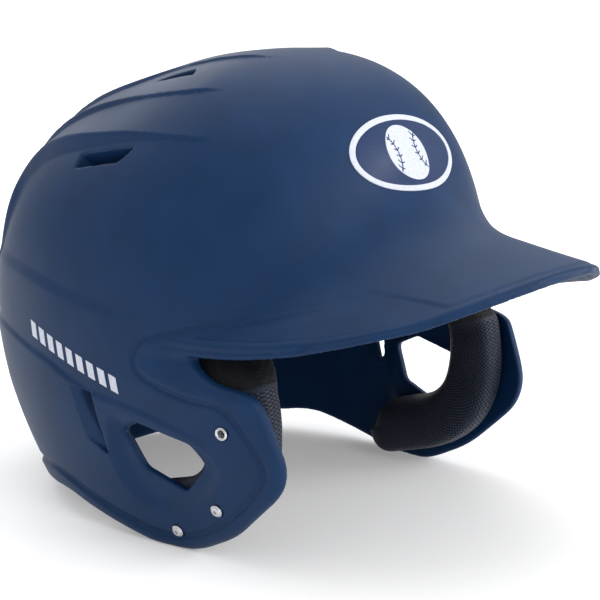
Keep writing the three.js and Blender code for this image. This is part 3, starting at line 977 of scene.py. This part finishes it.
def moulded_plastic(name, colour, roughness, grain=0.00003):
    """A matte moulded or painted plastic: a fine even grain, slight mottling and a soft gloss."""
    material, tree, shader = new_material(name)
    where = object_position(tree)
    mottling = noise(tree, where, 60, 3)
    darker = tuple(c * 0.9 for c in colour[:3]) + (1,)
    lighter = tuple(min(1, c * 1.1) for c in colour[:3]) + (1,)
    ramped(tree, shader, "Base Color", mottling.outputs["Fac"], 0.3, 0.7, darker, lighter)
    smudges = noise(tree, where, 18, 4)
    ramped(tree, shader, "Roughness", smudges.outputs["Fac"], 0.3, 0.75,
           grey(roughness - 0.04), grey(roughness + 0.05))
    fine = noise(tree, where, 2600, 2)
    bump = add_node(tree, "ShaderNodeBump", Height=fine.outputs["Fac"], Strength=0.25, Distance=grain)
    tree.links.new(bump.outputs["Normal"], shader.inputs["Normal"])
    shader.inputs["Specular IOR Level"].default_value = 0.18
    return material


def dress(obj, material):
    obj.data.materials.clear()
    obj.data.materials.append(material)


def bumped(tree, shader, height, strength, distance, normal=None):
    bump = add_node(tree, "ShaderNodeBump", Height=height, Strength=strength, Distance=distance)
    if normal is not None:
        tree.links.new(normal, bump.inputs["Normal"])
    tree.links.new(bump.outputs["Normal"], shader.inputs["Normal"])
    return bump.outputs["Normal"]


def calculate(tree, operation, first, second=0.5):
    node = add_node(tree, "ShaderNodeMath", {"operation": operation})
    for socket, value in zip(node.inputs, (first, second)):
        if isinstance(value, bpy.types.NodeSocket):
            tree.links.new(value, socket)
        else:
            socket.default_value = value
    return node.outputs["Value"]


def bead_foam():
    """Black moulded bead foam: fused beads with fine lines between them."""
    material, tree, shader = new_material("bead_foam")
    where = object_position(tree)
    cells = add_node(tree, "ShaderNodeTexVoronoi", {"feature": "DISTANCE_TO_EDGE"}, Vector=where, Scale=290.0)
    shades = add_node(tree, "ShaderNodeTexVoronoi", {"feature": "F1"}, Vector=where, Scale=290.0)
    ramped(tree, shader, "Base Color", shades.outputs["Color"], 0.2, 0.8,
           (0.010, 0.010, 0.012, 1), (0.020, 0.020, 0.023, 1))
    shader.inputs["Roughness"].default_value = 0.8
    edge = ramp(tree, cells.outputs["Distance"], 0.0, 0.12, grey(0), grey(1))
    bumped(tree, shader, edge, 0.5, 0.0002)
    return material


def knit_fabric():
    """Smooth black knit over foam: a fine even knit with soft brushed patches."""
    material, tree, shader = new_material("knit_fabric")
    where = object_position(tree)
    patches = noise(tree, where, 45, 4)
    ramped(tree, shader, "Base Color", patches.outputs["Fac"], 0.3, 0.7,
           (0.006, 0.006, 0.007, 1), (0.013, 0.013, 0.015, 1))
    wear = noise(tree, where, 22, 3)
    ramped(tree, shader, "Roughness", wear.outputs["Fac"], 0.3, 0.7, grey(0.5), grey(0.72))
    shader.inputs["Sheen Weight"].default_value = 0.08
    shader.inputs["Sheen Roughness"].default_value = 0.4
    loops = add_node(tree, "ShaderNodeTexVoronoi", {"feature": "F1"}, Vector=where, Scale=1150.0,
                     Randomness=0.35)
    first = bumped(tree, shader, loops.outputs["Distance"], 0.3, 0.00012)
    wrinkles = noise(tree, where, 120, 3)
    bumped(tree, shader, wrinkles.outputs["Fac"], 0.2, 0.0006, first)
    return material


# In centimetres along the jaw roll: the pitch of the knots, and where the mesh takes over from plain knit.
MESH_PITCH = 0.145
MESH_FROM, MESH_FULL = 1.1, 1.4


def mesh_fabric():
    """Open sports mesh: staggered knots round small dark holes, over a darker backing."""
    material, tree, shader = new_material("mesh_fabric")
    where = add_node(tree, "ShaderNodeUVMap", {"uv_map": "weave"}).outputs["UV"]
    wobble = noise(tree, object_position(tree), 90, 2)
    apart = add_node(tree, "ShaderNodeSeparateXYZ", Vector=where)
    along = calculate(tree, "MULTIPLY", apart.outputs["X"], 2 * math.pi / MESH_PITCH)
    around = calculate(tree, "MULTIPLY", apart.outputs["Y"], 2 * math.pi / (MESH_PITCH * math.sqrt(3)))
    around = calculate(tree, "ADD", around, calculate(tree, "MULTIPLY", wobble.outputs["Fac"], 0.3))
    knots = calculate(tree, "MULTIPLY", calculate(tree, "COSINE", along), calculate(tree, "COSINE", around))
    woven = add_node(tree, "ShaderNodeMapRange", Value=apart.outputs["X"])
    woven.inputs["From Min"].default_value = MESH_FROM
    woven.inputs["From Max"].default_value = MESH_FULL
    woven.inputs["To Min"].default_value = -0.9
    plain = calculate(tree, "MINIMUM", woven.outputs["Result"], 0.0)
    knots = calculate(tree, "ADD", calculate(tree, "MULTIPLY", knots, woven.outputs["Result"]), plain)
    height = calculate(tree, "MULTIPLY_ADD", knots, 0.5)
    ramped(tree, shader, "Base Color", height, 0.30, 0.72,
           (0.0022, 0.0026, 0.0045, 1), (0.014, 0.024, 0.056, 1))
    ramped(tree, shader, "Roughness", height, 0.3, 0.8, grey(0.7), grey(0.36))
    shader.inputs["Sheen Weight"].default_value = 0.05
    shader.inputs["Sheen Roughness"].default_value = 0.35
    shader.inputs["Specular IOR Level"].default_value = 0.3
    raised = ramp(tree, height, 0.15, 0.85, grey(0), grey(1))
    bumped(tree, shader, raised, 0.8, 0.0005)
    return material


def printed_ink(name, colour, roughness=0.4):
    """A printed or domed decal: even ink with faint speckle and a slight orange peel."""
    material, tree, shader = new_material(name)
    where = object_position(tree)
    speckle = noise(tree, where, 700, 3)
    paler = tuple(min(1, c * 1.04 + 0.004) for c in colour) + (1,)
    deeper = tuple(c * 0.93 for c in colour) + (1,)
    ramped(tree, shader, "Base Color", speckle.outputs["Fac"], 0.35, 0.65, deeper, paler)
    smear = noise(tree, where, 60, 3)
    ramped(tree, shader, "Roughness", smear.outputs["Fac"], 0.3, 0.7,
           grey(roughness - 0.06), grey(roughness + 0.08))
    shader.inputs["Specular IOR Level"].default_value = 0.25
    peel = noise(tree, where, 1100, 2)
    bumped(tree, shader, peel.outputs["Fac"], 0.12, 0.00004)
    return material


def bright_steel():
    """Nickel-plated steel with fine turning marks and slightly dulled patches."""
    material, tree, shader = new_material("bright_steel")
    where = object_position(tree)
    shader.inputs["Metallic"].default_value = 1.0
    tint = noise(tree, where, 500, 3)
    ramped(tree, shader, "Base Color", tint.outputs["Fac"], 0.3, 0.7,
           (0.50, 0.51, 0.53, 1), (0.68, 0.69, 0.71, 1))
    dull = noise(tree, where, 900, 4)
    ramped(tree, shader, "Roughness", dull.outputs["Fac"], 0.3, 0.7, grey(0.18), grey(0.34))
    marks = noise(tree, where, 5200, 2)
    bumped(tree, shader, marks.outputs["Fac"], 0.15, 0.00003)
    return material


NAVY = (0.0030, 0.0240, 0.0780, 1)
navy_plastic = moulded_plastic("navy_plastic", NAVY, 0.5)
foam = bead_foam()
knit = knit_fabric()
mesh_weave = mesh_fabric()
white_ink = printed_ink("white_ink", (0.56, 0.59, 0.68))
field_ink = printed_ink("field_ink", (0.005, 0.024, 0.088), 0.35)
navy_ink = printed_ink("navy_ink", (0.010, 0.033, 0.110), 0.25)
steel = bright_steel()

shell = make_shell()
place_piece(shell, "shell", navy_plastic, "outer_shell")

for name, block in LINER_BLOCKS.items():
    liner = field_piece(name + "_block", name, liner_distance(*block), 2.2)
    place_piece(liner, "liner_foam", foam, name)


def make_pads():
    """Comfort pads and jaw covers: grown from their forms, blown up as cloth, then sewn."""
    pads, plans, covers = [], {}, []
    for name, area in COMFORT_PADS.items():
        plans[name] = pad_plan(*area)
    plans["crown_pad"] = crown_plan
    for name, plan in plans.items():
        pad = field_piece(name + "_cushion", name, pad_distance(plan), 2.0)
        depth = -body_distance(*to_worn(vertices_of(pad)).T)
        pads.append((pad, depth < PAD_BACK + 1.2))
    for side, word in ((1, "left"), (-1, "right")):
        cover = field_piece("jaw_roll_" + word, "jaw_cover_" + word, jaw_distance(side), 1.9)
        depth = -body_distance(*to_worn(vertices_of(cover)).T)
        covers.append((cover, depth < JAW_BACK + 1.2))
        core = field_piece("jaw_core_" + word, "jaw_foam_" + word, jaw_distance(side, 1.6), 2.4)
        place_piece(core, "liner_foam", foam, "jaw_foam_" + word)
    inflate(pads, PAD_SWELL)
    inflate(covers, COVER_SWELL)
    for (pad, _), (name, plan) in zip(pads, plans.items()):
        subdivide(pad, 2)
        sink(pad, seam_depth(plan))
        place_piece(pad, "comfort_pad", knit, name)
    for (cover, _), word in zip(covers, ("left", "right")):
        subdivide(cover, 1)
        weave_map(cover)
        place_piece(cover, "mesh_cover", mesh_weave, "jaw_cover_" + word)


make_pads()

for side, word in ((1, "left"), (-1, "right")):
    for spot, (origin, normal) in INSERT_PLACES.items():
        mirror = np.array([side, 1, 1])
        base = "%s_%s" % (word, spot)
        insert = turned(base + "_eyelet", insert_profile(), origin * mirror, normal * mirror)
        place_piece(insert, "hardware", steel, base + "_insert")
        if spot != "upper":
            screw = turned(base + "_cap_screw", screw_profile(), origin * mirror, normal * mirror, (8, 9, 10))
            place_piece(screw, "hardware", steel, base + "_screw")
    bars = raised_patches("accent_bars_" + word, accent_grids(), on_side(side), 0.25)
    place_piece(bars, "trim", white_ink, "side_accent_" + word)

ring_outer = (BADGE_HALF_WIDTH, BADGE_HALF_HEIGHT)
ring_inner = (BADGE_HALF_WIDTH - BADGE_RING, BADGE_HALF_HEIGHT - BADGE_RING * 0.85)
badge_ring = raised_patches("badge_ring", [ring_grid(ring_inner, ring_outer)], on_front, 0.6, ring=True)
place_piece(badge_ring, "badge", white_ink, "front_badge")
badge_field = raised_patches("badge_field", [oval_grid(*ring_inner)], on_front, 0.35)
place_piece(badge_field, "badge", field_ink)
badge_ball = raised_patches("badge_ball", [oval_grid(BALL_RADIUS, BALL_RADIUS)], on_front, 0.5)
place_piece(badge_ball, "badge", white_ink)
badge_seams = raised_patches("badge_seams", seam_grids(), on_front, 0.65)
place_piece(badge_seams, "badge", navy_ink)

# ---------------------------------------------------------------- floor and light
floor_material, floor_tree, floor_shader = new_material("studio_floor")
floor_shader.inputs["Base Color"].default_value = (0.8, 0.8, 0.8, 1)
floor_shader.inputs["Roughness"].default_value = 0.9
floor_shader.inputs["Specular IOR Level"].default_value = 0.1
floor_shader.inputs["Emission Color"].default_value = (1, 1, 1, 1)
# Painted light: the floor glows though it is no lamp, a little under the helmet and more further out, so the
# weaker glow also paints darker shade on the floor under and round the helmet.
PAINTED_GLOW_NEAR, PAINTED_GLOW_FAR = 0.24, 0.5
away = add_node(floor_tree, "ShaderNodeVectorMath", {"operation": "LENGTH"},
                Vector=object_position(floor_tree))
painted_floor_glow = ramp(floor_tree, away.outputs["Value"], 0.18, 0.65, grey(PAINTED_GLOW_NEAR), grey(PAINTED_GLOW_FAR))
floor_tree.links.new(painted_floor_glow, floor_shader.inputs["Emission Strength"])
floor = mesh_object("studio_floor", [(-40, -40, 0), (40, -40, 0), (40, 40, 0), (-40, 40, 0)], [(0, 1, 2, 3)])
dress(floor, floor_material)

scene.view_settings.view_transform = "Standard"
world = bpy.data.worlds.new("studio")
scene.world = world
world.use_nodes = True
world_tree = world.node_tree
way = add_node(world_tree, "ShaderNodeTexCoord").outputs["Generated"]
sky = add_node(world_tree, "ShaderNodeSeparateXYZ", Vector=way)
sky_ramp = add_node(world_tree, "ShaderNodeValToRGB", Fac=sky.outputs["Z"])
# Each level of the sky: how far up it lies, and how bright it is.
SKY_LEVELS = ((0.10, 0.60), (0.18, 0.42), (0.45, 0.85))
sky_ramp.color_ramp.elements.new(0.5)
for element, (position, level) in zip(sky_ramp.color_ramp.elements, SKY_LEVELS):
    element.position = position
    element.color = grey(level)
world_tree.links.new(sky_ramp.outputs["Color"], world_tree.nodes["Background"].inputs["Color"])


def soft_light(name, place, aim, size, power):
    data = bpy.data.lights.new(name, "AREA")
    data.shape = "RECTANGLE"
    data.size, data.size_y = size
    data.energy = power
    light = bpy.data.objects.new(name, data)
    light.location = place
    light.rotation_euler = (Vector(place) - Vector(aim)).to_track_quat("Z", "Y").to_euler()
    scene.collection.objects.link(light)


soft_light("top_light", (0.1, 0.2, 1.7), (0, 0, 0.15), (1.6, 1.6), 10.5)
soft_light("side_light", (1.3, -1.5, 0.8), (0, 0, 0.1), (1.2, 1.0), 20)
soft_light("front_light", (-0.2, -1.8, 0.9), (0, 0, 0.1), (1.2, 1.0), 9.5)
soft_light("back_light", (1.1, 1.0, 1.4), (0.5, 0.45, 0), (2.2, 2.2), 8)
soft_light("rim_light", (0.7, 1.6, 1.0), (0, 0, 0.15), (1.4, 0.8), 5)
